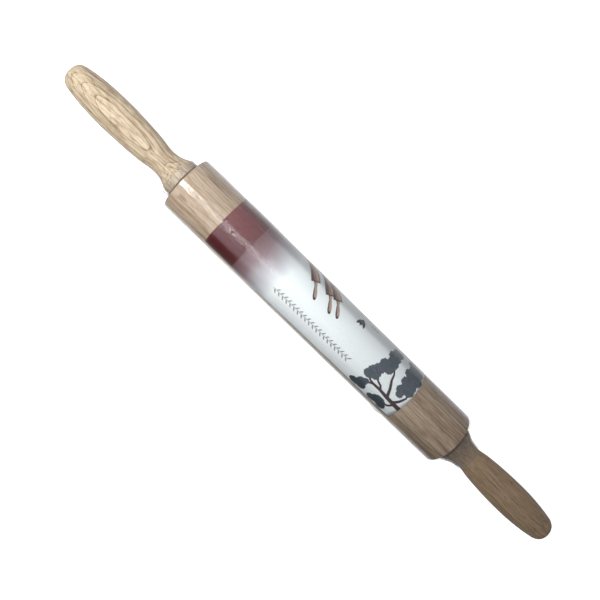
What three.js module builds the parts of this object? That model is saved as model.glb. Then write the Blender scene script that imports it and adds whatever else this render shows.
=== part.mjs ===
// A wooden kitchen rolling pin with turning barrel, still in its shop wrapping.
//
// Units are millimetres. The pin lies along X with its middle at the origin and +Z up, and the
// printed face of the label looks up. A steel axle joins the two handles. The barrel turns on it
// on two flanged nylon bushes, and carries a paper label and a sleeve of clear shrink film.
//
// At each end, "out" is the distance from the barrel's end face towards the handle's tip. Every
// turned outline is drawn with x = radius and y = out (or y = place along the whole pin).

import * as THREE from 'three';
import { mergeVertices } from 'three/addons/utils/BufferGeometryUtils.js';

// ---- driving dimensions ---------------------------------------------------------------------

const BARREL_LENGTH = 254;
const BARREL_R = 20.4;
const BARREL_EDGE_R = 0.8;
const END = BARREL_LENGTH / 2;

const HANDLE_TIP = 101.5;
const HANDLE_FOOT_R = 13.1;
const HANDLE_SHOULDER = 6;
const HANDLE_NECK = 20.5;
const HANDLE_NECK_R = 9.3;
const HANDLE_GRIP_R = 12.4;
const HANDLE_TIP_FLAT_R = 6.4;
const CENTRE_MARK_R = 1.5;
const CENTRE_MARK_DEPTH = 1.2;

const AXLE_R = 4;
const AXLE_IN_HANDLE = 60;
const AXLE_CHAMFER = 0.8;
const RUNNING_GAP = 0.3;
const SEAT_GAP = 0.1;

const BUSH_R = 6.5;
const BUSH_LENGTH = 15;
const BUSH_FLANGE_R = 9;
const BUSH_FLANGE_THICK = 1.2;

const WASHER_R = 8;
const WASHER_THICK = 0.5;
const FACE_GAP = 0.2;

const LABEL_FROM = -90.5;
const LABEL_TO = 81;
const LABEL_THICK = 0.2;
const LABEL_EDGE_DEG = 66;
const LABEL_WRAP_DEG = 285;

const FILM_R = 21;
const FILM_THICK = 0.2;
const FILM_LIP_LEFT = 8;
const FILM_LIP_RIGHT = 21;
const FILM_SLOPE_END = 12;

const LARGE_SEGMENTS = 48;
const HANDLE_SEGMENTS = 36;
const SMALL_SEGMENTS = 24;
const COARSE_STEPS = 2;
const HANDLE_STEPS = 4;

// ---- sizes that follow from them ------------------------------------------------------------

const BARREL_BORE_R = AXLE_R + 0.75;
const AXLE_LENGTH = BARREL_LENGTH + 2 * AXLE_IN_HANDLE;
const RECESS_DEPTH = BUSH_FLANGE_THICK + 2 * SEAT_GAP;
const POCKET_DEPTH = RECESS_DEPTH + BUSH_LENGTH;
const WASHER_FACE = SEAT_GAP;
const HANDLE_FOOT = WASHER_FACE + WASHER_THICK + FACE_GAP;

// ---- materials ------------------------------------------------------------------------------

const barrelWood = new THREE.MeshStandardMaterial({ color: 0xb59a80, roughness: 0.6 });
const handleWood = new THREE.MeshStandardMaterial({ color: 0xd9bf9a, roughness: 0.55 });
const steel = new THREE.MeshStandardMaterial({ color: 0xa9abad, roughness: 0.35, metalness: 1 });
const nylon = new THREE.MeshStandardMaterial({ color: 0xe8e6df, roughness: 0.5 });
const paper = new THREE.MeshStandardMaterial({ color: 0xe6ebec, roughness: 0.45 });
const film = new THREE.MeshStandardMaterial({
  color: 0xf2f6f6,
  roughness: 0.08,
  transparent: true,
  opacity: 0.25,
});

// ---- helpers --------------------------------------------------------------------------------

const point = (radius, out) => new THREE.Vector2(radius, out);

// Points of a ring's outline, running anticlockwise so that its faces look outward.
function ringOutline(innerR, outerR, from, to) {
  return [
    point(innerR, from),
    point(outerR, from),
    point(outerR, to),
    point(innerR, to),
    point(innerR, from),
  ];
}

function turned(name, outline, segments, material) {
  const geometry = new THREE.LatheGeometry(outline, segments);
  geometry.deleteAttribute('normal');
  geometry.deleteAttribute('uv');
  const welded = mergeVertices(geometry, 1e-4);
  welded.computeVertexNormals();
  const mesh = new THREE.Mesh(welded, material);
  mesh.name = name;
  return mesh;
}

// Lays a lathe's own Y axis along X: side 1 points it to +X and side -1 to -X.
function alongX(side, out, ...meshes) {
  const holder = new THREE.Group();
  holder.rotation.z = -side * Math.PI / 2;
  holder.position.x = side * out;
  holder.add(...meshes);
  return holder;
}

// Offsets an open outline inward by a thickness and closes the two into one loop.
function thickened(outer, thickness) {
  const inner = outer.map((here, i) => {
    const before = outer[Math.max(i - 1, 0)];
    const after = outer[Math.min(i + 1, outer.length - 1)];
    const along = after.clone().sub(before).normalize();
    return point(here.x - along.y * thickness, here.y + along.x * thickness);
  });
  return [...outer, ...inner.reverse(), outer[0].clone()];
}

// ---- barrel and what turns with it ----------------------------------------------------------

// One end of the barrel's outline, from its end face's inner edge to its side.
function barrelEndOutline() {
  const path = new THREE.Path();
  path.moveTo(BUSH_FLANGE_R + RUNNING_GAP, 0);
  path.lineTo(BARREL_R - BARREL_EDGE_R, 0);
  path.absarc(BARREL_R - BARREL_EDGE_R, -BARREL_EDGE_R, BARREL_EDGE_R, Math.PI / 2, 0, true);
  return path.getPoints(COARSE_STEPS);
}

function makeBarrel() {
  const pocket = [
    point(BARREL_BORE_R, -POCKET_DEPTH),
    point(BUSH_R + SEAT_GAP, -POCKET_DEPTH),
    point(BUSH_R + SEAT_GAP, -RECESS_DEPTH),
    point(BUSH_FLANGE_R + RUNNING_GAP, -RECESS_DEPTH),
  ];
  const half = [...pocket, ...barrelEndOutline()];
  const right = half.map((p) => point(p.x, END + p.y)).reverse();
  const left = half.map((p) => point(p.x, -END - p.y));
  return turned('barrel', [...left, ...right, left[0].clone()], LARGE_SEGMENTS, barrelWood);
}

function makeBush(name) {
  const boreR = AXLE_R + RUNNING_GAP;
  const face = -SEAT_GAP;
  const neck = face - BUSH_FLANGE_THICK;
  const tail = neck - BUSH_LENGTH + SEAT_GAP;
  const outline = [
    point(boreR, tail),
    point(BUSH_R, tail),
    point(BUSH_R, neck),
    point(BUSH_FLANGE_R, neck),
    point(BUSH_FLANGE_R, face),
    point(boreR, face),
    point(boreR, tail),
  ];
  return turned(name, outline, SMALL_SEGMENTS, nylon);
}

// The label is a curved sheet. Its angle runs from straight up (+Z) towards +Y, and it stops
// short of a full turn, so a strip of bare wood shows between its two straight edges.
function makeLabel() {
  const innerR = BARREL_R + SEAT_GAP;
  const outerR = innerR + LABEL_THICK;
  const from = THREE.MathUtils.degToRad(180 + LABEL_EDGE_DEG);
  const to = from - THREE.MathUtils.degToRad(LABEL_WRAP_DEG);
  const sheet = new THREE.Shape();
  sheet.absarc(0, 0, outerR, from, to, true);
  sheet.absarc(0, 0, innerR, to, from, false);
  sheet.closePath();
  const extruded = new THREE.ExtrudeGeometry(sheet, {
    depth: LABEL_TO - LABEL_FROM,
    bevelEnabled: false,
    curveSegments: LARGE_SEGMENTS,
  });
  extruded.deleteAttribute('normal');
  extruded.deleteAttribute('uv');
  const geometry = mergeVertices(extruded, 1e-4);
  geometry.computeVertexNormals();
  const mesh = new THREE.Mesh(geometry, paper);
  mesh.name = 'paper_label';
  mesh.rotation.y = Math.PI / 2;
  mesh.position.x = LABEL_FROM;
  return mesh;
}

// The film's outer outline at one end: round the barrel's edge, in across its end face, and out
// again along the handle's foot as a loose lip. It never touches the handle.
function filmEndOutline(lip) {
  const cornerR = FILM_R - BARREL_R + BARREL_EDGE_R;
  const wall = cornerR - BARREL_EDGE_R;
  const path = new THREE.Path();
  path.moveTo(FILM_R, -BARREL_EDGE_R);
  path.absarc(FILM_R - cornerR, -BARREL_EDGE_R, cornerR, 0, Math.PI / 2, false);
  path.lineTo(HANDLE_FOOT_R + 2.3, wall);
  path.quadraticCurveTo(HANDLE_FOOT_R + 0.9, wall, HANDLE_FOOT_R + 0.8, wall + 1.8);
  if (lip < FILM_SLOPE_END) {
    path.quadraticCurveTo(HANDLE_FOOT_R + 0.8, HANDLE_SHOULDER, HANDLE_FOOT_R + 0.45, lip);
  } else {
    const slopeFrom = point(HANDLE_FOOT_R + 0.8, HANDLE_SHOULDER);
    const slopeTo = point(HANDLE_FOOT_R - 1.1, FILM_SLOPE_END);
    path.bezierCurveTo(slopeFrom.x, slopeFrom.y, HANDLE_FOOT_R + 0.5, 8.5, slopeTo.x, slopeTo.y);
    path.quadraticCurveTo(HANDLE_NECK_R + 1.2, 15.5, HANDLE_NECK_R + 0.9, lip);
  }
  return path.getPoints(COARSE_STEPS);
}

function makeFilm() {
  const right = filmEndOutline(FILM_LIP_RIGHT).map((p) => point(p.x, END + p.y));
  const left = filmEndOutline(FILM_LIP_LEFT).map((p) => point(p.x, -END - p.y)).reverse();
  const outline = thickened([...left, ...right], FILM_THICK);
  return turned('shrink_film', outline, LARGE_SEGMENTS, film);
}

// ---- axle and what stays with the hands -----------------------------------------------------

function makeAxle() {
  const tip = AXLE_LENGTH / 2;
  const outline = [
    point(0, -tip),
    point(AXLE_R - AXLE_CHAMFER, -tip),
    point(AXLE_R, -tip + AXLE_CHAMFER),
    point(AXLE_R, tip - AXLE_CHAMFER),
    point(AXLE_R - AXLE_CHAMFER, tip),
    point(0, tip),
  ];
  return turned('axle_rod', outline, SMALL_SEGMENTS, steel);
}

function makeWasher(name) {
  const boreR = AXLE_R + RUNNING_GAP;
  const outline = ringOutline(boreR, WASHER_R, WASHER_FACE, WASHER_FACE + WASHER_THICK);
  return turned(name, outline, SMALL_SEGMENTS, steel);
}

// The handle's outer outline, from its foot to its flat tip: a flared foot, a slim neck, and a
// long grip that swells slowly and closes quickly.
function handleOutline() {
  const path = new THREE.Path();
  path.moveTo(HANDLE_FOOT_R - 0.5, HANDLE_FOOT);
  path.quadraticCurveTo(HANDLE_FOOT_R, HANDLE_FOOT, HANDLE_FOOT_R, HANDLE_FOOT + 0.7);
  path.lineTo(HANDLE_FOOT_R, HANDLE_SHOULDER);
  path.bezierCurveTo(HANDLE_FOOT_R, 9.5, HANDLE_NECK_R, 11.3, HANDLE_NECK_R, HANDLE_NECK);
  path.bezierCurveTo(HANDLE_NECK_R, 25, HANDLE_NECK_R + 1.1, 28, HANDLE_NECK_R + 1.5, 32);
  path.bezierCurveTo(HANDLE_GRIP_R - 0.7, 42, HANDLE_GRIP_R, 52, HANDLE_GRIP_R, 64);
  path.bezierCurveTo(HANDLE_GRIP_R, 76, HANDLE_GRIP_R - 1.0, 87.5, HANDLE_GRIP_R - 2.9, 97);
  path.bezierCurveTo(8.9, 99.2, 7.9, HANDLE_TIP - 0.8, HANDLE_TIP_FLAT_R, HANDLE_TIP);
  return path.getPoints(HANDLE_STEPS);
}

function makeHandle(name) {
  const boreR = AXLE_R + SEAT_GAP;
  const boreEnd = AXLE_IN_HANDLE + 1;
  const outline = [
    point(0, boreEnd),
    point(boreR, boreEnd),
    point(boreR, HANDLE_FOOT),
    ...handleOutline(),
    point(CENTRE_MARK_R, HANDLE_TIP),
    point(0, HANDLE_TIP - CENTRE_MARK_DEPTH),
  ];
  return turned(name, outline, HANDLE_SEGMENTS, handleWood);
}

// ---- the pin --------------------------------------------------------------------------------

const pin = new THREE.Group();
pin.add(alongX(1, 0, makeBarrel(), makeFilm(), makeAxle()));
pin.add(makeLabel());
for (const [side, hand] of [[-1, 'left'], [1, 'right']]) {
  pin.add(alongX(
    side,
    END,
    makeBush(`bush_${hand}`),
    makeWasher(`thrust_washer_${hand}`),
    makeHandle(`handle_${hand}`),
  ));
}

export default pin;
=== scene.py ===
"""A wooden rolling pin in its shop wrapping: turned barrel and handles, printed paper label, and a
sleeve of clear shrink film.

The pin lies along X with its middle at the origin, and the label's printed face looks up (+Z).
Shapes are drawn in millimetres and scaled to metres when their mesh is made. "Out" is the
distance from the barrel's end face towards a handle's tip. An angle round the pin is measured
from straight up, positive towards -Y, and "arc" is that angle as millimetres of label.
"""

import math

import bpy
import numpy as np
from mathutils import Matrix, Vector, noise
from mathutils.geometry import delaunay_2d_cdt


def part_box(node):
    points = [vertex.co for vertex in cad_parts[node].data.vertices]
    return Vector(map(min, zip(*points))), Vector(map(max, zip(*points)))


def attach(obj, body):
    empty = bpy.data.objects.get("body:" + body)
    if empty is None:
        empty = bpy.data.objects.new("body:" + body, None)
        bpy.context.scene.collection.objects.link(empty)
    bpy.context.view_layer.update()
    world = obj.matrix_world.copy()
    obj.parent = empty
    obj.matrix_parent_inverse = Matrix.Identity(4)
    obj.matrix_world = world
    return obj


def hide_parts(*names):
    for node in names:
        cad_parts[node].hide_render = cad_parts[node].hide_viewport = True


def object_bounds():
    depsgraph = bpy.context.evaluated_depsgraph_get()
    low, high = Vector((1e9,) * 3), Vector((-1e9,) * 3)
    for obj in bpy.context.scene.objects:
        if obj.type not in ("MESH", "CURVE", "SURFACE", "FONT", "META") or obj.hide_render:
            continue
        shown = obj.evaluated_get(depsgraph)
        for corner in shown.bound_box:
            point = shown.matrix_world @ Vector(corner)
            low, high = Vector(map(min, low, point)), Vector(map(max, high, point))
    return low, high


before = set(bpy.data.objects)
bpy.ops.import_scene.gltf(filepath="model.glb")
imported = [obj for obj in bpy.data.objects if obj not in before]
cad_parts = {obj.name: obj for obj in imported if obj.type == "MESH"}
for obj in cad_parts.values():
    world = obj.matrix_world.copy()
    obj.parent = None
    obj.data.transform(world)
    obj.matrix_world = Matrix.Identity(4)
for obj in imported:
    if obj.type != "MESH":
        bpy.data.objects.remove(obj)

cad_low, cad_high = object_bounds()

MM = 0.001


def box_mm(node):
    low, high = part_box(node)
    return Vector(low) / MM, Vector(high) / MM


# ---- sizes from the frame -------------------------------------------------------------------

_, barrel_high = box_mm("barrel")
film_low, film_high = box_mm("shrink_film")
label_low, label_high = box_mm("paper_label")
handle_low, handle_high = box_mm("handle_right")

END = barrel_high.x
BARREL_R = barrel_high.z
FILM_R = film_high.z
LABEL_R = label_high.z
LABEL_FROM, LABEL_TO = label_low.x, label_high.x
LIP_LEFT = -film_low.x - END
LIP_RIGHT = film_high.x - END
HANDLE_FOOT = handle_low.x - END
HANDLE_TIP = handle_high.x - END
HANDLE_FOOT_R = handle_high.z

# ---- sizes the boxes don't give, as in the CAD ----------------------------------------------

BARREL_EDGE_R = 0.8
BARREL_BORE_R = 4.75
BUSH_POCKET_R, BUSH_POCKET_DEPTH = 6.6, 16.4
FLANGE_POCKET_R, FLANGE_POCKET_DEPTH = 9.3, 1.4
HANDLE_SHOULDER = 6.0
HANDLE_NECK, HANDLE_NECK_R = 20.5, 9.3
HANDLE_GRIP_R = 12.4
HANDLE_TIP_FLAT_R = 6.4
HANDLE_BORE_R, HANDLE_BORE_END = 4.1, 61.0
CENTRE_MARK_R, CENTRE_MARK_DEPTH = 1.5, 1.2
LABEL_EDGE = math.radians(66)
LABEL_WRAP = math.radians(285)

# ---- sizes that are finer than in the CAD, whose solids can't be as thin ---------------------

LABEL_THICK = 0.15
FILM_THICK = 0.1
FILM_CLEARANCE = 0.42

# ---- how finely the turned pieces are meshed -------------------------------------------------

BARREL_SEGMENTS = 192
HANDLE_SEGMENTS = 144
FILM_SEGMENTS = 328


# ---- mesh helpers ---------------------------------------------------------------------------


def bezier(a, b, c, d, steps):
    """Points of a cubic curve after its first point."""
    t = np.linspace(0, 1, steps + 1)[1:, None]
    a, b, c, d = (np.array(p, float) for p in (a, b, c, d))
    curve = (1 - t) ** 3 * a + 3 * (1 - t) ** 2 * t * b + 3 * (1 - t) * t * t * c + t**3 * d
    return [tuple(p) for p in curve]


def line(a, b, steps):
    """Points of a straight stretch after its first point."""
    return [(a[0] + (b[0] - a[0]) * i / steps, a[1] + (b[1] - a[1]) * i / steps)
            for i in range(1, steps + 1)]


def arc(centre, radius, start, stop, steps):
    """Points of an arc in the (place, radius) plane, from the angle start to stop in degrees."""
    turns = [math.radians(start + (stop - start) * i / steps) for i in range(steps + 1)]
    return [(centre[0] + radius * math.cos(t), centre[1] + radius * math.sin(t)) for t in turns]


def add_mesh(name, points, faces, sharp=40):
    mesh = bpy.data.meshes.new(name)
    mesh.from_pydata([tuple(p) for p in np.asarray(points) * MM], [], faces)
    mesh.validate()
    mesh.shade_smooth()
    mesh.set_sharp_from_angle(angle=math.radians(sharp))
    obj = bpy.data.objects.new(name, mesh)
    bpy.context.scene.collection.objects.link(obj)
    return obj


def revolve(name, outline, segments, loop=False, shape=None, sharp=40):
    """Turns an outline of (place along X, radius) round the X axis.

    shape(place, radius, angle) may move each point and returns (place, radius). A first or last
    point on the axis becomes one vertex.
    """
    points, rings = [], []
    for place, radius in outline:
        if radius < 1e-6:
            rings.append([len(points)])
            points.append((place, 0.0, 0.0))
            continue
        rings.append(list(range(len(points), len(points) + segments)))
        for i in range(segments):
            angle = 2 * math.pi * i / segments
            x, r = shape(place, radius, angle) if shape else (place, radius)
            points.append((x, -r * math.sin(angle), r * math.cos(angle)))
    pairs = list(zip(rings, rings[1:])) + ([(rings[-1], rings[0])] if loop else [])
    faces = []
    for one, two in pairs:
        for i in range(segments):
            j = (i + 1) % segments
            corners = [one[i % len(one)], two[i % len(two)], two[j % len(two)], one[j % len(one)]]
            faces.append(list(dict.fromkeys(corners)))
    return add_mesh(name, points, faces, sharp)


# ---- material helpers -----------------------------------------------------------------------


def linear(red, green, blue, alpha=1.0):
    """An sRGB colour of 0 to 255 as the linear colour that a shader takes."""
    parts = [c / 255 for c in (red, green, blue)]
    parts = [c / 12.92 if c <= 0.04045 else ((c + 0.055) / 1.055) ** 2.4 for c in parts]
    return (*parts, alpha)


class Nodes:
    """A node tree, built from the inputs up."""

    def __init__(self, tree):
        self.tree = tree
        self.tree.nodes.clear()

    def add(self, kind, inputs=None, **settings):
        node = self.tree.nodes.new(kind)
        for key, value in settings.items():
            setattr(node, key, value)
        for key, value in (inputs or {}).items():
            if isinstance(value, bpy.types.NodeSocket):
                self.tree.links.new(value, node.inputs[key])
            else:
                node.inputs[key].default_value = value
        return node

    def maths(self, operation, a, b=0.0, clamp=False):
        node = self.add("ShaderNodeMath", {0: a, 1: b}, operation=operation, use_clamp=clamp)
        return node.outputs[0]

    def chain(self, operation, values, clamp):
        """values joined by operation from the left. The last result is clamped to 0 to 1."""
        result = values[0]
        for value in values[1:-1]:
            result = self.maths(operation, result, value)
        return self.maths(operation, result, values[-1], clamp)

    def total(self, *values, clamp=False):
        return self.chain("ADD", values, clamp)

    def product(self, *values, clamp=False):
        return self.chain("MULTIPLY", values, clamp)

    def distance(self, value, centre):
        return self.maths("ABSOLUTE", self.maths("SUBTRACT", value, centre))

    def remap(self, value, from_low, from_high, to_low=0.0, to_high=1.0, smooth=False):
        node = self.add("ShaderNodeMapRange", {
            "Value": value, "From Min": from_low, "From Max": from_high,
            "To Min": to_low, "To Max": to_high},
            interpolation_type="SMOOTHSTEP" if smooth else "LINEAR")
        return node.outputs[0]


class Shader(Nodes):
    """A material. Its place is the object's own, in metres."""

    def __init__(self, name):
        self.material = bpy.data.materials.new(name)
        self.material.use_nodes = True
        super().__init__(self.material.node_tree)
        self.place = self.add("ShaderNodeTexCoord").outputs["Object"]

    def xyz(self):
        """The place's X, Y and Z in millimetres."""
        node = self.add("ShaderNodeSeparateXYZ", {0: self.scaled(self.place, (1, 1, 1))})
        return [node.outputs[i] for i in range(3)]

    def scaled(self, vector, scale, shift=(0, 0, 0)):
        """The vector in millimetres, stretched by scale."""
        node = self.add("ShaderNodeMapping",
                        {"Vector": vector, "Location": shift, "Scale": [s / MM for s in scale]})
        return node.outputs[0]

    def noise(self, vector, scale=1.0, detail=2.0, roughness=0.5, distortion=0.0):
        node = self.add("ShaderNodeTexNoise", {
            "Vector": vector, "Scale": scale, "Detail": detail, "Roughness": roughness,
            "Distortion": distortion})
        return node.outputs[0]

    def ramp(self, value, *stops, interpolation="LINEAR"):
        node = self.add("ShaderNodeValToRGB", {"Fac": value})
        band = node.color_ramp
        band.interpolation = interpolation
        while len(band.elements) < len(stops):
            band.elements.new(0.5)
        for element, (position, colour) in zip(band.elements, stops):
            element.position = position
            element.color = colour if isinstance(colour, tuple) else (colour, colour, colour, 1)
        return node.outputs[0]

    def mix(self, share, a, b, blend="MIX"):
        node = self.add("ShaderNodeMix", {0: share, 6: a, 7: b}, data_type="RGBA", blend_type=blend)
        return node.outputs[2]

    def bump(self, height, distance, strength=1.0, normal=None):
        inputs = {"Height": height, "Distance": distance * MM, "Strength": strength}
        if normal is not None:
            inputs["Normal"] = normal
        return self.add("ShaderNodeBump", inputs).outputs[0]

    def finish(self, shader):
        self.add("ShaderNodeOutputMaterial", {"Surface": shader.outputs[0]})
        return self.material


# ---- wood -----------------------------------------------------------------------------------

# How dark the painted shade at the handle joints is, at the left end and at the right end.
JOINT_SHADE_LEFT, JOINT_SHADE_RIGHT = 0.8, 0.24


def growth_rings(s, x, y, z, pith, lean, ring_step, wander):
    """How far through its ring a point is, from 0 to 1."""
    across = s.maths("SUBTRACT", s.maths("SUBTRACT", y, pith[0]), s.product(x, lean[0]))
    upward = s.maths("SUBTRACT", s.maths("SUBTRACT", z, pith[1]), s.product(x, lean[1]))
    reach = s.maths("SQRT", s.total(s.product(across, across), s.product(upward, upward)))
    return s.maths("FRACT", s.maths("DIVIDE", s.total(reach, wander), ring_step))


def wood(name, pale, dark, pith, lean, ring_step, seed, sway, streak, ring_line, fleck, nested,
         roughness, bends=0.9, right_end_painted_shade=0.0):
    """Turned wood. Growth rings are shells round a pith line that runs along the pin at pith
    (Y, Z in mm) and leans by lean (mm of Y and Z for each mm of X), so a turned surface cuts
    them into long pointed ovals. Fibres, pores and streaks run along X. The joint at a handle's
    foot and a barrel's end is darkened by a line of painted shade, standing in for the shadow in
    the gap there, stronger at the left.

    sway bends the rings and bends the fibres, in mm. streak, ring_line, fleck and nested are how
    dark each figure is, and right_end_painted_shade is how much painted shade darkens the wood
    towards the right end, where the light falls off."""
    s = Shader(name)
    x, y, z = s.xyz()
    shift = (seed * 7.3, seed * 3.1, seed * 5.7)
    wander = s.noise(s.scaled(s.place, (0.02, 0.08, 0.08), shift), detail=2)
    wander = s.remap(wander, 0.3, 0.7, -sway, sway)
    ring = growth_rings(s, x, y, z, pith, lean, ring_step, wander)
    late = s.ramp(ring, (0.0, 0.0), (0.5, 0.1), (0.82, 0.35), (0.92, 1.0), (0.96, 1.0), (1.0, 0.0))
    fine_ring = s.maths("FRACT", s.product(ring, 4.0))
    fine_ring = s.ramp(fine_ring, (0.0, 0.0), (0.6, 0.1), (0.85, 1.0), (1.0, 0.0))

    bend = s.noise(s.scaled(s.place, (0.05, 0.06, 0.06), shift), detail=1)
    bend = s.remap(bend, 0.3, 0.7, -bends * MM, bends * MM)
    bend = s.add("ShaderNodeCombineXYZ", {1: bend, 2: bend}).outputs[0]
    wavy = s.add("ShaderNodeVectorMath", {0: s.place, 1: bend}, operation="ADD").outputs[0]
    fibre = s.noise(s.scaled(wavy, (0.022, 0.7, 0.7), shift), detail=5, roughness=0.7)
    streaks = s.noise(s.scaled(wavy, (0.008, 0.7, 0.7), shift), detail=3, roughness=0.6)
    flecks = s.noise(s.scaled(wavy, (0.13, 1.3, 1.3), shift), detail=3, roughness=0.65)
    pores = s.noise(s.scaled(wavy, (0.16, 2.2, 2.2), shift), detail=1)
    pores = s.remap(pores, 0.66, 0.74)
    cloud = s.noise(s.scaled(s.place, (0.02, 0.04, 0.04), shift), detail=2)

    tone = s.total(
        s.product(late, ring_line),
        s.product(fine_ring, nested),
        s.remap(fibre, 0.36, 0.64, -0.3, 0.42),
        s.remap(streaks, 0.42, 0.72, -0.1 * streak, streak),
        s.remap(flecks, 0.35, 0.65, -fleck, fleck),
        s.remap(cloud, 0.35, 0.65, -0.06, 0.1),
        # painted shade: the wood darkens towards the right end, for the light falling off there
        s.remap(x, 20, END, 0.0, right_end_painted_shade),
        0.08, clamp=True)
    colour = s.mix(tone, linear(*pale), linear(*dark))
    pore_colour = linear(*(c * 0.55 for c in dark))
    colour = s.mix(s.product(pores, 0.7), colour, pore_colour)
    # Painted shade: a dark line where a handle's foot meets the barrel's end, standing in for the
    # shadow in the gap there, stronger at the left.
    off_joint = s.distance(s.maths("ABSOLUTE", x), END + HANDLE_FOOT)
    joint_shade = s.product(s.remap(off_joint, 0.6, 1.7, 1.0, 0.0, smooth=True),
                     s.remap(x, -END, END, JOINT_SHADE_LEFT, JOINT_SHADE_RIGHT))
    colour = s.mix(joint_shade, colour, linear(84, 58, 40))

    height = s.maths("SUBTRACT", s.product(fibre, 0.5), pores)
    normal = s.bump(height, 0.05, 0.55)
    rough = s.remap(fibre, 0.3, 0.7, roughness - 0.06, roughness + 0.1)
    return s.finish(s.add("ShaderNodeBsdfPrincipled", {
        "Base Color": colour, "Roughness": rough, "Normal": normal, "Specular IOR Level": 0.35}))


# ---- barrel ---------------------------------------------------------------------------------


def barrel_outline():
    """The bored barrel's outline, half at each end, as one loop."""
    edge = BARREL_R - BARREL_EDGE_R
    half = [(-BUSH_POCKET_DEPTH, BARREL_BORE_R), (-BUSH_POCKET_DEPTH, BUSH_POCKET_R),
            (-FLANGE_POCKET_DEPTH, BUSH_POCKET_R), (-FLANGE_POCKET_DEPTH, FLANGE_POCKET_R),
            (0.0, FLANGE_POCKET_R)]
    half += line((0.0, FLANGE_POCKET_R), (0.0, edge), 6)[:-1]
    half += arc((-BARREL_EDGE_R, edge), BARREL_EDGE_R, 0, 90, 8)
    right = [(END + out, radius) for out, radius in half][::-1]
    left = [(-END - out, radius) for out, radius in half]
    side = line(left[-1], right[0], 40)[:-1]
    return left + side + right


def make_barrel():
    barrel = revolve("barrel_wood", barrel_outline(), BARREL_SEGMENTS, loop=True)
    barrel.data.materials.append(wood(
        "open_grained_wood", pale=(185, 167, 146), dark=(122, 99, 78), pith=(12, -64),
        lean=(0.02, 0.012), ring_step=2.6, seed=2, sway=1.6, streak=0.45, ring_line=0.35,
        fleck=0.13, nested=0.08, bends=0.5, right_end_painted_shade=0.36, roughness=0.6))
    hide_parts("barrel")
    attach(barrel, "barrel")


# ---- handles --------------------------------------------------------------------------------


def handle_side():
    """The handle's turned side as (out, radius): a flared foot with a square shoulder, a slim
    neck and a long grip that swells slowly and closes quickly."""
    foot, neck, grip, tip = HANDLE_FOOT_R, HANDLE_NECK_R, HANDLE_GRIP_R, HANDLE_TIP
    side = [(HANDLE_FOOT, foot - 0.5)]
    side += bezier(side[-1], (HANDLE_FOOT, foot - 0.2), (HANDLE_FOOT + 0.3, foot),
                   (HANDLE_FOOT + 0.7, foot), 5)
    side += line(side[-1], (HANDLE_SHOULDER, foot), 4)
    side += bezier(side[-1], (9.5, foot), (11.3, neck), (HANDLE_NECK, neck), 26)
    side += bezier(side[-1], (25, neck), (28, neck + 1.1), (32, neck + 1.5), 12)
    side += bezier(side[-1], (42, grip - 0.7), (52, grip), (64, grip), 24)
    side += bezier(side[-1], (76, grip), (87.5, grip - 1.0), (97, grip - 2.9), 28)
    side += bezier(side[-1], (99.2, 8.9), (tip - 0.8, 7.9), (tip, HANDLE_TIP_FLAT_R), 14)
    return side


def handle_outline():
    """The whole outline, from the blind bore round the side to the dimple that the lathe's
    centre left in the tip."""
    outline = [(HANDLE_BORE_END, 0.0), (HANDLE_BORE_END, HANDLE_BORE_R),
               (HANDLE_FOOT, HANDLE_BORE_R)]
    outline += line(outline[-1], handle_side()[0], 3)
    outline += handle_side()[1:]
    outline += line(outline[-1], (HANDLE_TIP, CENTRE_MARK_R), 4)
    outline += line(outline[-1], (HANDLE_TIP - CENTRE_MARK_DEPTH, 0.0), 3)
    return outline


def make_handle(hand, side, seed, pale, dark, pith, lean, ring_line, fleck, nested):
    """One handle. side is 1 for the one towards +X."""
    outline = [(side * (END + out), radius) for out, radius in handle_outline()]
    if side < 0:
        outline.reverse()

    def hand_turned(place, radius, angle):
        out = abs(place) - END
        if radius < HANDLE_TIP_FLAT_R - 0.1 or out < HANDLE_FOOT + 0.1:
            return place, radius
        around = Vector((out * 0.045, math.cos(angle) * 0.8, math.sin(angle) * 0.8 + seed * 4))
        tool_marks = 0.018 * math.sin(out * 2.1 + seed)
        return place, radius + 0.12 * noise.noise(around) + tool_marks

    handle = revolve(f"handle_{hand}_wood", outline, HANDLE_SEGMENTS, shape=hand_turned)
    handle.data.materials.append(wood(
        f"pale_turned_wood_{hand}", pale=pale, dark=dark, pith=pith, lean=lean, ring_step=1.6,
        seed=seed, sway=0.35, streak=0.3, ring_line=ring_line, fleck=fleck, nested=nested,
        roughness=0.5))
    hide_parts(f"handle_{hand}")
    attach(handle, "hands")


# ---- label ----------------------------------------------------------------------------------

BLOCK_TO = -66.3
FADE_TO = -36.0
LEAF_ROW_ARC = 9.2
INK = {
    "crown": linear(72, 81, 90),
    "crown_dark": linear(62, 71, 80),
    "branch": linear(58, 40, 44),
    "pin_body": linear(130, 103, 95),
    "pin_shade": linear(78, 58, 54),
    "pin_dark": linear(52, 42, 40),
    "pin_grip": linear(162, 140, 125),
    # painted shadow along the label's long edge
    "edge": linear(84, 86, 76),
    "leaf": linear(138, 134, 134),
    "leaf_dark": linear(44, 46, 50),
}


def circle(x, y, radius, sides=22, squash=1.0):
    return [(x + radius * math.cos(2 * math.pi * i / sides),
             y + radius * squash * math.sin(2 * math.pi * i / sides)) for i in range(sides)]


def stroke(points, widths):
    """A tapered stroke through points, with its width at each."""
    left, right = [], []
    for i, (x, y) in enumerate(points):
        before, after = points[max(i - 1, 0)], points[min(i + 1, len(points) - 1)]
        dx, dy = after[0] - before[0], after[1] - before[1]
        length = math.hypot(dx, dy)
        nx, ny = -dy / length * widths[i] / 2, dx / length * widths[i] / 2
        left.append((x + nx, y + ny))
        right.append((x - nx, y - ny))
    return left + right[::-1]


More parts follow.
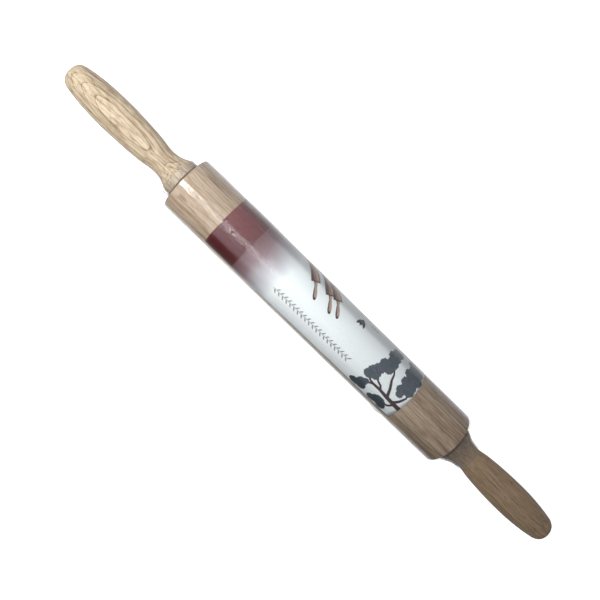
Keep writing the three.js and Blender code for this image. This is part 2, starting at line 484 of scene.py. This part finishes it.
def leaf(x, y, length, width, degrees):
    """A pointed leaf that starts at x, y and points along degrees."""
    turn = math.radians(degrees)
    cos, sin = math.cos(turn), math.sin(turn)
    steps = 6
    side = [(length * i / steps, width / 2 * math.sin(math.pi * i / steps)) for i in range(steps)]
    other = [(length - u, -v) for u, v in side]
    return [(x + u * cos - v * sin, y + u * sin + v * cos) for u, v in side + other]


def turned_pin(x, y, degrees):
    """A small picture of a rolling pin. x, y is the near handle's tip. It runs along degrees."""
    turn = math.radians(degrees)

    def placed(points):
        return [(x + u * math.cos(turn) - v * math.sin(turn),
                 y + u * math.sin(turn) + v * math.cos(turn)) for u, v in points]

    grip = [(0.3, -0.9), (2.5, -1.45), (6, -1.4), (9.5, -1.0), (12.6, -1.5), (12.6, 1.5),
            (9.5, 1.0), (6, 1.4), (2.5, 1.45), (0.3, 0.9), (-0.2, 0)]
    grip_shade = [(0.5, -0.9), (2.5, -1.45), (6, -1.4), (9.5, -1.0), (12.6, -1.5), (12.6, -0.5),
                  (6, -0.5), (2, -0.3)]
    tip_shade = circle(0.9, 0, 0.95, 12)
    body = [(12.6, -3.7), (39, -3.7), (39, 3.7), (12.6, 3.7)]
    body_shade = [(12.6, -3.7), (39, -3.7), (39, -1.2), (12.6, -1.2)]
    body_glint = [(13.4, 1.0), (39, 1.0), (39, 2.4), (13.4, 2.4)]
    face_shade = [(12.6, -3.7), (13.5, -3.7), (13.5, 3.7), (12.6, 3.7)]
    far_grip = [(51.6 - u, v) for u, v in grip]
    return [(placed(grip), "pin_grip"), (placed(grip_shade), "pin_shade"),
            (placed(tip_shade), "pin_dark"), (placed(far_grip), "pin_grip"),
            (placed(body), "pin_body"), (placed(body_glint), "pin_grip"),
            (placed(body_shade), "pin_shade"), (placed(face_shade), "pin_dark")]


def crown(blobs, ink):
    """Foliage: rounded blobs of (x, arc, half length, half height), each edged with leaf bumps."""
    art = []
    for x, y, across, high in blobs:
        sides = 64
        outline = []
        for i in range(sides):
            turn = 2 * math.pi * i / sides
            bump = 0.94 + 0.11 * abs(math.sin(turn * 4.5 + x)) + 0.03 * math.sin(turn * 13 + y)
            outline.append((x + across * bump * math.cos(turn), y + high * bump * math.sin(turn)))
        art.append((outline, ink))
    return art


def leaf_rows():
    """A long row of small leaves on a stem, three dark leaves and three dots."""
    art = []
    for i in range(20):
        x = -36 + i * 3.45
        art.append((leaf(x, LEAF_ROW_ARC, 3.6, 1.1, 48), "leaf"))
        art.append((leaf(x + 1.6, LEAF_ROW_ARC, 3.2, 1.0, -50), "leaf"))
    art.append((stroke([(-37, LEAF_ROW_ARC), (32, LEAF_ROW_ARC)], [0.4, 0.4]), "leaf"))
    for x, degrees in ((18.6, -60), (21.8, -85), (25.4, -110)):
        art.append((leaf(x, -13.5, 7.8, 2.6, degrees), "leaf_dark"))
    for x in (30.5, 33, 35.5):
        art.append((circle(x, -22.8, 0.8, 12), "leaf_dark"))
    return art


def tree():
    """Branches that spread from the label's right end, with foliage over their tips."""
    branches = [
        ([(83, 9.9), (76, 9.9), (69, 9.6), (62, 9.0), (55.5, 9.2), (51, 12), (49, 15)],
         [3.4, 3.2, 2.7, 2.1, 1.9, 1.6, 1.2]),
        ([(55.6, 9.2), (51.5, 8.4), (49, 5)], [1.6, 1.4, 1.0]),
        ([(69, 9.6), (65.8, 3.4), (62.6, -1.2), (61.4, -5), (58.6, -9)],
         [2.4, 1.9, 1.7, 1.4, 1.0]),
        ([(62, 9.0), (60, 6.6), (56.2, 5.4), (54, 2.6)], [1.7, 1.5, 1.3, 1.1]),
        ([(74, 9.8), (76.8, 5.4), (78.4, 1.0), (77.4, -3)], [2.3, 1.9, 1.5, 1.1]),
        ([(76, 10), (74.5, 13.2), (71, 16.5)], [1.9, 1.7, 1.3]),
    ]
    art = [(stroke(points, widths), "branch") for points, widths in branches]
    art += crown([(56.4, -21, 4.6, 4.0), (55.0, -15.5, 5.2, 4.6), (56.0, -10.6, 4.6, 4.0),
                  (52.8, -6.2, 5.0, 4.2), (56.2, -5.4, 3.6, 3.4), (51.0, -1.4, 4.2, 3.0),
                  (50.0, 2.6, 5.2, 4.0), (48.4, 5.8, 4.2, 3.2), (53, 4.2, 2.4, 2.6)], "crown")
    art += crown([(49.4, 14.0, 4.0, 3.2), (46.4, 18.2, 4.8, 3.2), (51.4, 17.4, 3.6, 3.2),
                  (51, 11.6, 2.4, 2.2)], "crown_dark")
    art += crown([(71, -23, 5.0, 3.6), (74, -20, 6.4, 5.0), (71.4, -14, 5.4, 4.0),
                  (77, -13.4, 4.2, 4.6), (73.6, -7.4, 6.4, 4.4), (76.4, -3.6, 4.4, 3.4),
                  (72, -1.2, 4.0, 3.2), (73, 2.0, 2.8, 2.2)], "crown")
    art += crown([(67, 16.4, 5.6, 4.0), (62.8, 18.8, 4.2, 3.0), (71, 18.6, 3.6, 3.2)],
                 "crown_dark")
    return art


def far_side():
    """The side that faces away carries a smaller tree and a row of sprigs of its own."""
    art = [(stroke([(83, -56), (72, -56.5), (62, -55)], [3.0, 2.2, 1.0]), "branch"),
           (stroke([(71, -56.3), (66, -61), (62, -63)], [1.5, 1.1, 0.7]), "branch"),
           (stroke([(70, -56.4), (66, -51)], [1.3, 0.8]), "branch")]
    art += crown([(60, -62, 5, 4.6), (57, -55, 5.4, 4.8), (62, -49, 4.8, 4.2),
                  (64, -66, 3.8, 3.4), (54, -60, 4, 3.6)], "crown")
    for i in range(14):
        art.append((leaf(-20 + i * 3.6, -58, 3.6, 1.4, 40 if i % 2 else -40), "leaf"))
    return art


def artwork():
    """The printed shapes, bottom one first, as (outline in (x, arc), ink), and last a dark line of
    painted shadow along the label's long edge on the -Y side.
    """
    art = []
    for x, y in ((-12.4, -3.6), (1.0, -3.8), (7.2, -5.2)):
        art += turned_pin(x, y, 237)
    art += leaf_rows() + tree() + far_side()
    # Painted shadow: a dark olive line along the label's long edge on the -Y side, standing in for
    # the shadow beside that edge.
    edge_shadow_arc = LABEL_R * LABEL_EDGE - 0.8
    art.append((stroke([(-44, edge_shadow_arc), (LABEL_TO, edge_shadow_arc)], [0.6, 2.0]), "edge"))
    return art


def inside(points, polygon):
    """Which of the points lie inside the polygon."""
    x, y = points[:, 0], points[:, 1]
    found = np.zeros(len(points), bool)
    for (ax, ay), (bx, by) in zip(polygon, polygon[1:] + polygon[:1]):
        if ay == by:
            continue
        crosses = ((ay > y) != (by > y)) & (x < (bx - ax) * (y - ay) / (by - ay) + ax)
        found ^= crosses
    return found


def clipped(polygon, low, high):
    """The polygon cut to the sheet's rectangle (Sutherland-Hodgman)."""
    for axis in (0, 1):
        for limit, sign in ((low[axis], 1), (high[axis], -1)):
            kept = []
            for a, b in zip(polygon, polygon[1:] + polygon[:1]):
                da, db = sign * (a[axis] - limit), sign * (b[axis] - limit)
                if da >= 0:
                    kept.append(a)
                if da * db < 0:
                    t = da / (da - db)
                    kept.append((a[0] + t * (b[0] - a[0]), a[1] + t * (b[1] - a[1])))
            polygon = kept
    return polygon


def label_shader():
    """Coated paper: a wine-red block that fades to white, with the inks on top. Painted shade
    makes the block darker towards its two long edges and changes its tone across its width, dims
    the white a little at the far side, and darkens the paper a little towards the right end."""
    s = Shader("printed_coated_paper")
    x, y, _ = s.xyz()
    # Painted shade: the block's tone changes across its width and darkens towards both long edges,
    # for how the light falls round the barrel.
    block = s.ramp(s.remap(y, -16, 16), (0.0, linear(74, 24, 28)), (0.13, linear(78, 27, 31)),
                   (0.16, linear(92, 50, 54)), (0.4, linear(90, 45, 50)),
                   (0.55, linear(98, 42, 46)), (0.68, linear(105, 52, 55)),
                   (0.93, linear(102, 50, 53)), (1.0, linear(84, 34, 38)))
    block = s.mix(s.remap(x, -76, BLOCK_TO, 0.0, 0.35), block, linear(84, 52, 55))

    drift = s.remap(s.noise(s.scaled(s.place, (0.03, 0.05, 0.05)), detail=2), 0.3, 0.7, -3.5, 3.5)
    fade = s.remap(s.total(x, drift), LABEL_FROM, FADE_TO)
    wash = s.ramp(fade, (0.4, linear(107, 73, 78)), (0.62, linear(134, 114, 119)),
                  (0.82, linear(186, 186, 192)), (1.0, linear(228, 234, 236)))
    # Painted shade: the white dims towards the far long edge.
    far_side_painted_shade = s.remap(y, 12.5, 16.0, smooth=True)
    wash = s.mix(far_side_painted_shade, wash, linear(216, 217, 217), "MULTIPLY")
    # Painted shade: the paper darkens a little towards the right end, for the light falling off
    # there.
    wash = s.mix(s.remap(x, 10, 80), wash, linear(247, 247, 247), "MULTIPLY")
    colour = s.mix(s.maths("LESS_THAN", x, BLOCK_TO), wash, block)

    ink = s.add("ShaderNodeAttribute", attribute_name="ink", attribute_type="GEOMETRY")
    mottle = s.noise(s.scaled(s.place, (0.35, 0.35, 0.35)), detail=3)
    inked = s.mix(0.5, ink.outputs["Color"], s.ramp(mottle, (0.3, 0.35), (0.7, 0.65)), "OVERLAY")
    colour = s.mix(ink.outputs["Alpha"], colour, inked)
    grain = s.noise(s.scaled(s.place, (3, 3, 3)), detail=3)
    colour = s.mix(0.06, colour, s.ramp(grain, (0.3, 0.0), (0.7, 1.0)), "OVERLAY")
    normal = s.bump(grain, 0.01, 0.3)
    return s.finish(s.add("ShaderNodeBsdfPrincipled", {
        "Base Color": colour, "Roughness": 0.38, "Normal": normal, "Specular IOR Level": 0.5}))


def make_label():
    """The sheet is meshed flat, along the outlines of everything printed on it, then bent."""
    arc_high = LABEL_R * LABEL_EDGE
    arc_low = arc_high - LABEL_R * LABEL_WRAP
    low, high = (LABEL_FROM, arc_low), (LABEL_TO, arc_high)
    art = [(clipped(outline, low, high), ink) for outline, ink in artwork()]
    art = [(outline, ink) for outline, ink in art if len(outline) > 2]

    columns = np.linspace(low[0], high[0], 59)
    rows = np.linspace(low[1], high[1], 141)
    points = [Vector((x, y)) for x in columns for y in rows]
    edges = []
    for outline, _ in art:
        first = len(points)
        points += [Vector(p) for p in outline]
        edges += [(first + i, first + (i + 1) % len(outline)) for i in range(len(outline))]
    flat, _, faces, _, _, _ = delaunay_2d_cdt(points, edges, [], 0, 1e-4)
    flat = np.array([tuple(p) for p in flat])
    faces = [face for face in faces if len(set(face)) == 3]
    centres = flat[np.array(faces)].mean(axis=1)

    colours = np.zeros((len(faces), 4))
    for outline, ink in art:
        colours[inside(centres, outline)] = INK[ink]

    angles = flat[:, 1] / LABEL_R
    bent = np.column_stack([flat[:, 0], -LABEL_R * np.sin(angles), LABEL_R * np.cos(angles)])
    label = add_mesh("paper_label_sheet", bent, faces, sharp=60)
    mesh = label.data
    if mesh.polygons[0].normal.dot(mesh.polygons[0].center * Vector((0, 1, 1))) < 0:
        mesh.flip_normals()
    inks = mesh.color_attributes.new("ink", "FLOAT_COLOR", "CORNER")
    corner_faces = np.repeat(np.arange(len(faces)), 3)
    inks.data.foreach_set("color", colours[corner_faces].ravel())
    label.data.materials.append(label_shader())
    solid = label.modifiers.new("thickness", "SOLIDIFY")
    solid.thickness = LABEL_THICK * MM
    solid.offset = -1
    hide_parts("paper_label")
    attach(label, "barrel")


# ---- film -----------------------------------------------------------------------------------

FILM_STREAK_Y = -1.5  # where the lamp's reflection lies along the film
FILM_CRACKLE_X = -72.0  # the middle of the crackled stretch


def film_end_outline(lip):
    """The film from the barrel's side, round its edge and in across its end face, then out along
    the handle's side, just clear of it, to the lip."""
    corner = FILM_R - BARREL_R + BARREL_EDGE_R
    wall = corner - BARREL_EDGE_R
    foot = HANDLE_FOOT_R + FILM_CLEARANCE
    outline = arc((-BARREL_EDGE_R, FILM_R - corner), corner, 90, 0, 10)
    outline += line(outline[-1], (wall, foot + 1.4), 8)
    outline += bezier(outline[-1], (wall, foot + 0.5), (wall + 0.7, foot), (wall + 1.6, foot), 8)
    sides = np.array(handle_side())
    for out in np.linspace(wall + 1.6, lip, 14 + int(lip))[1:]:
        outline.append((float(out), float(np.interp(out, *sides.T)) + FILM_CLEARANCE))
    return outline


def barrel_slack(place, angle):
    """How far the film stands off along the barrel: loose nearly everywhere, over the label's
    left part more, and most at a small knot on the -Y side."""
    cos, sin = math.cos(angle), math.sin(angle)
    slack = 0.1 * max(noise.noise(Vector((place * 0.02, cos * 1.3, sin * 1.3))), 0.0)
    slack += 0.35 * math.exp(-(((place - LABEL_FROM - 18) / 16) ** 4))
    knot = math.exp(-(((place - LABEL_TO + 6) / 3.2) ** 2) - ((angle - 1.4) / 0.22) ** 2)
    return slack + 1.1 * knot


def film_shape(place, radius, angle):
    """Wrinkles: slack along the barrel, pleats gathered round each handle's foot, and a fold that
    stands off the handle's foot on the -Y side, mostly the left one's. The wall across the
    barrel's right end is loose, and the lips are ragged."""
    out = abs(place) - END
    side = 1 if place > 0 else -1
    if out < -BARREL_EDGE_R:
        return place, radius + barrel_slack(place, angle)

    cos, sin = math.cos(angle), math.sin(angle)
    gathered = min(max((FILM_R - radius) / (FILM_R - HANDLE_FOOT_R), 0.0), 1.0)
    broad = noise.noise(Vector((side * 9.0 + out * 0.05, cos * 5, sin * 5)))
    fine = noise.noise(Vector((side * 5.0 + out * 0.16, cos * 16, sin * 16)))
    pleat = 0.5 + 0.5 * math.sin(angle * 41 + 6 * broad + out * 0.16)
    lift = gathered * (0.4 * pleat**2 + 0.35 * max(broad, 0.0) + 0.3 * max(fine, 0.0))

    on_end_wall = out <= FILM_R - BARREL_R + 0.01
    if on_end_wall:
        rim = min(max((radius - HANDLE_FOOT_R - 1.5) / 3.0, 0.0), 1.0)
        loose = (0.7 + 0.4 * max(0.0, -sin)) * (side > 0) * rim * min(1.0, max(0.0, out / 0.5))
        return place + side * (lift * 0.8 + loose), radius

    fold = math.exp(-(((out - 7.5) / 3.2) ** 2)) * max(0.0, sin) ** 2
    fold *= 1.2 if side < 0 else 0.3
    ragged = abs(0.9 * noise.noise(Vector((side * 3.0, cos * 2.2, sin * 2.2))))
    lip = LIP_RIGHT if side > 0 else LIP_LEFT
    reach = max(out - 1.0, 0.0) / lip
    return place - side * reach**2 * ragged, radius + lift + fold


def film_mirror(s, y, pulled, normal, gathered):
    """The share of light that the film mirrors: two faces' worth, streaky and patchy, with a
    glitter along the lamp's reflection, and less where the film is gathered."""
    one_face = s.add("ShaderNodeFresnel", {"IOR": 1.46, "Normal": normal}).outputs[0]
    both_faces = s.maths("DIVIDE", s.product(one_face, 2.0), s.total(one_face, 1.0))
    streaky = s.remap(pulled, 0.35, 0.65, 0.75, 1.25)
    patchy = s.noise(s.scaled(s.place, (0.22, 0.8, 0.8)), detail=3, roughness=0.6)
    patchy = s.remap(patchy, 0.35, 0.6, 0.72, 1.05)
    glitter = s.noise(s.scaled(s.place, (0.9, 1.2, 1.2)), detail=2)
    glitter_weight = s.remap(s.distance(y, FILM_STREAK_Y), 2.0, 5.0, 0.8, 0.15)
    glitter = s.product(s.remap(glitter, 0.43, 0.58, -0.9, 1.3), glitter_weight)
    dulled = s.remap(gathered, 0, 1, 1.0, 0.35)
    return s.product(both_faces, streaky, patchy, s.total(glitter, 1.0), dulled)


def film_shader():
    """Clear film: see-through, with the mirror share of a thin sheet and fine wrinkles. Where it
    is gathered round a handle's foot it is duller and a little milky, and that milky veil is
    painted darker towards the right end as painted shade. It is crackled over the label's
    wine-red block. Only the outer skin mirrors; the inner one, seen from behind, lets everything
    through."""
    s = Shader("clear_shrink_film")
    x, y, _ = s.xyz()
    off_middle = s.maths("ABSOLUTE", x)
    gathered = s.remap(off_middle, END - 0.5, END + 1.0)
    off_joint = s.remap(s.distance(off_middle, END + 0.8), 0.7, 1.5, 0.12, 1.0)
    over_block = s.remap(s.distance(x, FILM_CRACKLE_X), 17, 21, 0.45, 0.06)
    outer = s.maths("SUBTRACT", 1.0, s.add("ShaderNodeNewGeometry").outputs["Backfacing"])

    crinkle = s.noise(s.scaled(s.place, (0.35, 0.7, 0.7)), detail=3, roughness=0.6)
    crackle = s.noise(s.scaled(s.place, (2.0, 2.4, 2.4)), detail=2, roughness=0.6)
    pulled = s.noise(s.scaled(s.place, (0.015, 0.9, 0.9)), detail=3, roughness=0.6)
    height = s.total(s.product(crinkle, 0.5), s.product(pulled, 0.7),
                     s.product(crackle, over_block))
    normal = s.bump(height, 0.09, 0.7)

    specks = s.noise(s.scaled(s.place, (0.6, 1.5, 1.5)), detail=3, roughness=0.7)
    milky = s.product(gathered, s.remap(specks, 0.45, 0.7, 0.02, 0.12))
    share = s.total(film_mirror(s, y, pulled, normal, gathered), milky)
    share = s.product(share, off_joint, outer, clamp=True)
    rough = s.total(s.remap(gathered, 0, 1, 0.11, 0.38), s.product(over_block, 0.16))
    gloss = s.add("ShaderNodeBsdfAnisotropic", {"Color": (1, 1, 1, 1), "Roughness": rough,
                                                "Normal": normal})

    edge_on = s.add("ShaderNodeLayerWeight", {"Blend": 0.5}).outputs["Facing"]
    tint = s.ramp(edge_on, (0.0, 0.99), (0.75, 0.95), (0.93, 0.8), (1.0, 0.6))
    past_edge = s.remap(off_middle, END - 1.4, END - 0.3)
    tint = s.mix(past_edge, tint, (0.96, 0.96, 0.96, 1))
    clear = s.add("ShaderNodeBsdfTransparent", {"Color": tint})
    veil = s.product(gathered, s.remap(specks, 0.45, 0.68, 0.01, 0.22), outer, off_joint)
    # Painted shade: the milky veil is darker and warmer towards the right end, for the light
    # falling off there.
    veil_colour_with_painted_shade = s.ramp(s.remap(x, -END, END), (0.0, (0.64, 0.59, 0.52, 1)),
                         (1.0, (0.6, 0.53, 0.46, 1)))
    haze = s.add("ShaderNodeBsdfDiffuse", {"Color": veil_colour_with_painted_shade, "Normal": normal})
    clear = s.add("ShaderNodeMixShader", {0: veil, 1: clear.outputs[0], 2: haze.outputs[0]})
    both = s.add("ShaderNodeMixShader", {0: share, 1: clear.outputs[0], 2: gloss.outputs[0]})
    return s.finish(both)


def make_film():
    right = [(END + out, radius) for out, radius in film_end_outline(LIP_RIGHT)]
    left = [(-END - out, radius) for out, radius in film_end_outline(LIP_LEFT)][::-1]
    outline = left + line(left[-1], right[0], 44)[:-1] + right
    film = revolve("shrink_film_sleeve", outline, FILM_SEGMENTS, shape=film_shape, sharp=70)
    film.data.materials.append(film_shader())
    solid = film.modifiers.new("thickness", "SOLIDIFY")
    solid.thickness = FILM_THICK * MM
    solid.offset = -1
    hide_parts("shrink_film")
    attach(film, "barrel")


# ---- the CAD pieces that stay ---------------------------------------------------------------


def drawn_steel():
    s = Shader("drawn_steel")
    lines = s.noise(s.scaled(s.place, (0.05, 6, 6)), detail=3)
    colour = s.mix(lines, linear(150, 151, 154), linear(196, 197, 199))
    return s.finish(s.add("ShaderNodeBsdfPrincipled", {
        "Base Color": colour, "Metallic": 1.0, "Roughness": s.remap(lines, 0.3, 0.7, 0.24, 0.42),
        "Normal": s.bump(lines, 0.01, 0.3)}))


def nylon():
    s = Shader("natural_nylon")
    mottle = s.noise(s.scaled(s.place, (0.8, 0.8, 0.8)), detail=3)
    colour = s.mix(mottle, linear(226, 223, 212), linear(240, 238, 230))
    return s.finish(s.add("ShaderNodeBsdfPrincipled", {
        "Base Color": colour, "Roughness": s.remap(mottle, 0.3, 0.7, 0.4, 0.52),
        "Subsurface Weight": 0.1, "Subsurface Radius": (0.001, 0.001, 0.0008),
        "Normal": s.bump(mottle, 0.01, 0.3)}))


def finish_cad_nodes():
    steel, plastic = drawn_steel(), nylon()
    looks = {"axle_rod": steel, "thrust_washer_left": steel, "thrust_washer_right": steel,
             "bush_left": plastic, "bush_right": plastic}
    for name, look in looks.items():
        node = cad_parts[name]
        for slot in node.material_slots:
            slot.link = "OBJECT"
            slot.material = look


# ---- floor, light and camera ----------------------------------------------------------------


def make_floor():
    """A white sheet. It is burnt out to the camera and softer to everything it lights. The film
    mirrors it as dark far out on the -Y side."""
    size = 4.0
    mesh = bpy.data.meshes.new("floor")
    z = cad_low.z
    corners = [(-size, -size, z), (size, -size, z), (size, size, z), (-size, size, z)]
    mesh.from_pydata(corners, [], [(0, 1, 2, 3)])
    floor = bpy.data.objects.new("floor", mesh)
    bpy.context.scene.collection.objects.link(floor)
    s = Shader("pale_floor")
    path = s.add("ShaderNodeLightPath").outputs
    y = s.add("ShaderNodeSeparateXYZ", {0: s.place}).outputs[1]
    dark_side = s.product(path["Is Glossy Ray"], s.remap(y, -0.075, -0.055, 1.0, 0.0))
    white = s.add("ShaderNodeBsdfDiffuse", {"Color": s.ramp(dark_side, (0.0, 0.6), (1.0, 0.05))})
    others = s.remap(dark_side, 0, 1, 0.12, 0.0)
    seen = s.product(path["Is Camera Ray"], 0.83)
    glow = s.add("ShaderNodeEmission", {
        "Color": (0.98, 0.99, 1, 1), "Strength": s.total(others, seen)})
    both = s.add("ShaderNodeAddShader", {0: white.outputs[0], 1: glow.outputs[0]})
    mesh.materials.append(s.finish(both))


def area_light(name, place, target, size, power, colour=(1, 1, 1)):
    """A lamp of size (along X, across) that faces target."""
    data = bpy.data.lights.new(name, "AREA")
    data.shape = "RECTANGLE"
    data.size, data.size_y = size
    data.energy = power
    data.color = colour
    away = (Vector(place) - Vector(target)).normalized()
    across = away.cross(Vector((1, 0, 0))).normalized()
    along = across.cross(away)
    lamp = bpy.data.objects.new(name, data)
    lamp.matrix_world = Matrix((
        (along.x, across.x, away.x, place[0]),
        (along.y, across.y, away.y, place[1]),
        (along.z, across.z, away.z, place[2]),
        (0, 0, 0, 1)))
    bpy.context.scene.collection.objects.link(lamp)
    return lamp


def make_lights():
    """The key is over the left half, tipped away from the right one so that the light falls off
    towards it. A dimmer panel in its place is the one whose reflection is the bright streak on
    the film, and a strip carries the streak on over the label. The ceiling only fills."""
    key_at, key_to, warm = (-0.257, -0.055, 0.40), (-0.32, -0.03, 0), (1, 0.985, 0.96)
    key = area_light("key", key_at, key_to, (0.178, 0.130), 1.68, warm)
    key.visible_glossy = False
    area_light("panel", (-0.262, -0.060, 0.40), key_to, (0.168, 0.140), 0.86, warm)
    area_light("streak", (-0.10, -0.056, 0.40), (-0.10, -0.03, 0), (0.13, 0.15), 0.11)
    ceiling = area_light("ceiling", (-0.1, 0.04, 0.7), (0, 0, 0), (0.9, 0.9), 2.1, (0.95, 0.98, 1))
    ceiling.visible_glossy = False


def make_world():
    """A pale room. The film mirrors its left side as a haze, and less of its right side and of
    the dark wall low down on the -Y side."""
    world = bpy.data.worlds.new("studio")
    world.use_nodes = True
    s = Nodes(world.node_tree)
    direction = s.add("ShaderNodeTexCoord").outputs["Generated"]
    x, y = (s.add("ShaderNodeSeparateXYZ", {0: direction}).outputs[i] for i in range(2))
    path = s.add("ShaderNodeLightPath").outputs
    along = s.remap(x, -0.3, 0.4, 1.0, 0.15)
    across = s.remap(y, -0.94, -0.88, -0.1, 1.0)
    mirrored = s.maths("SUBTRACT", s.product(along, across, 0.95), 0.12)
    strength = s.total(0.22, s.product(path["Is Glossy Ray"], mirrored), path["Is Camera Ray"])
    background = s.add("ShaderNodeBackground", {"Color": (0.93, 0.96, 1.0, 1),
                                                "Strength": strength})
    s.add("ShaderNodeOutputWorld", {"Surface": background.outputs[0]})
    bpy.context.scene.world = world


def make_camera():
    """Looks down on the pin from above, a little nearer to the left handle. The pin runs from
    the picture's upper left to its lower right."""
    height, along, across = 0.411, -0.0569, -0.00286
    tilt = math.radians(5.54)
    roll = math.radians(44.16)
    back = Vector((-math.sin(tilt), 0, math.cos(tilt)))
    along_pin = Vector((math.cos(tilt), 0, math.sin(tilt)))
    across_pin = Vector((0, 1, 0))
    right = along_pin * math.cos(roll) + across_pin * math.sin(roll)
    up = across_pin * math.cos(roll) - along_pin * math.sin(roll)
    data = bpy.data.cameras.new("camera")
    data.lens, data.sensor_width = 36.0, 36.0
    data.clip_start, data.clip_end = 0.01, 20
    camera = bpy.data.objects.new("camera", data)
    camera.matrix_world = Matrix((
        (right.x, up.x, back.x, along),
        (right.y, up.y, back.y, across),
        (right.z, up.z, back.z, height),
        (0, 0, 0, 1)))
    bpy.context.scene.collection.objects.link(camera)
    bpy.context.scene.camera = camera


make_barrel()
make_handle("left", -1, seed=1, pale=(188, 173, 149), dark=(110, 88, 67), pith=(3, -60.25),
            lean=(0, -0.042), ring_line=0.48, fleck=0.26, nested=0.2)
# The right handle's wood is given darker colours than the left's, partly as painted shade for the
# light falling off towards the right.
make_handle("right", 1, seed=5, pale=(153, 130, 105), dark=(107, 86, 65), pith=(-38, -40),
            lean=(-0.02, 0.01), ring_line=0.3, fleck=0.12, nested=0.08)
make_label()
make_film()
finish_cad_nodes()
make_floor()
make_lights()
make_world()
make_camera()
bpy.context.scene.view_settings.view_transform = "Standard"
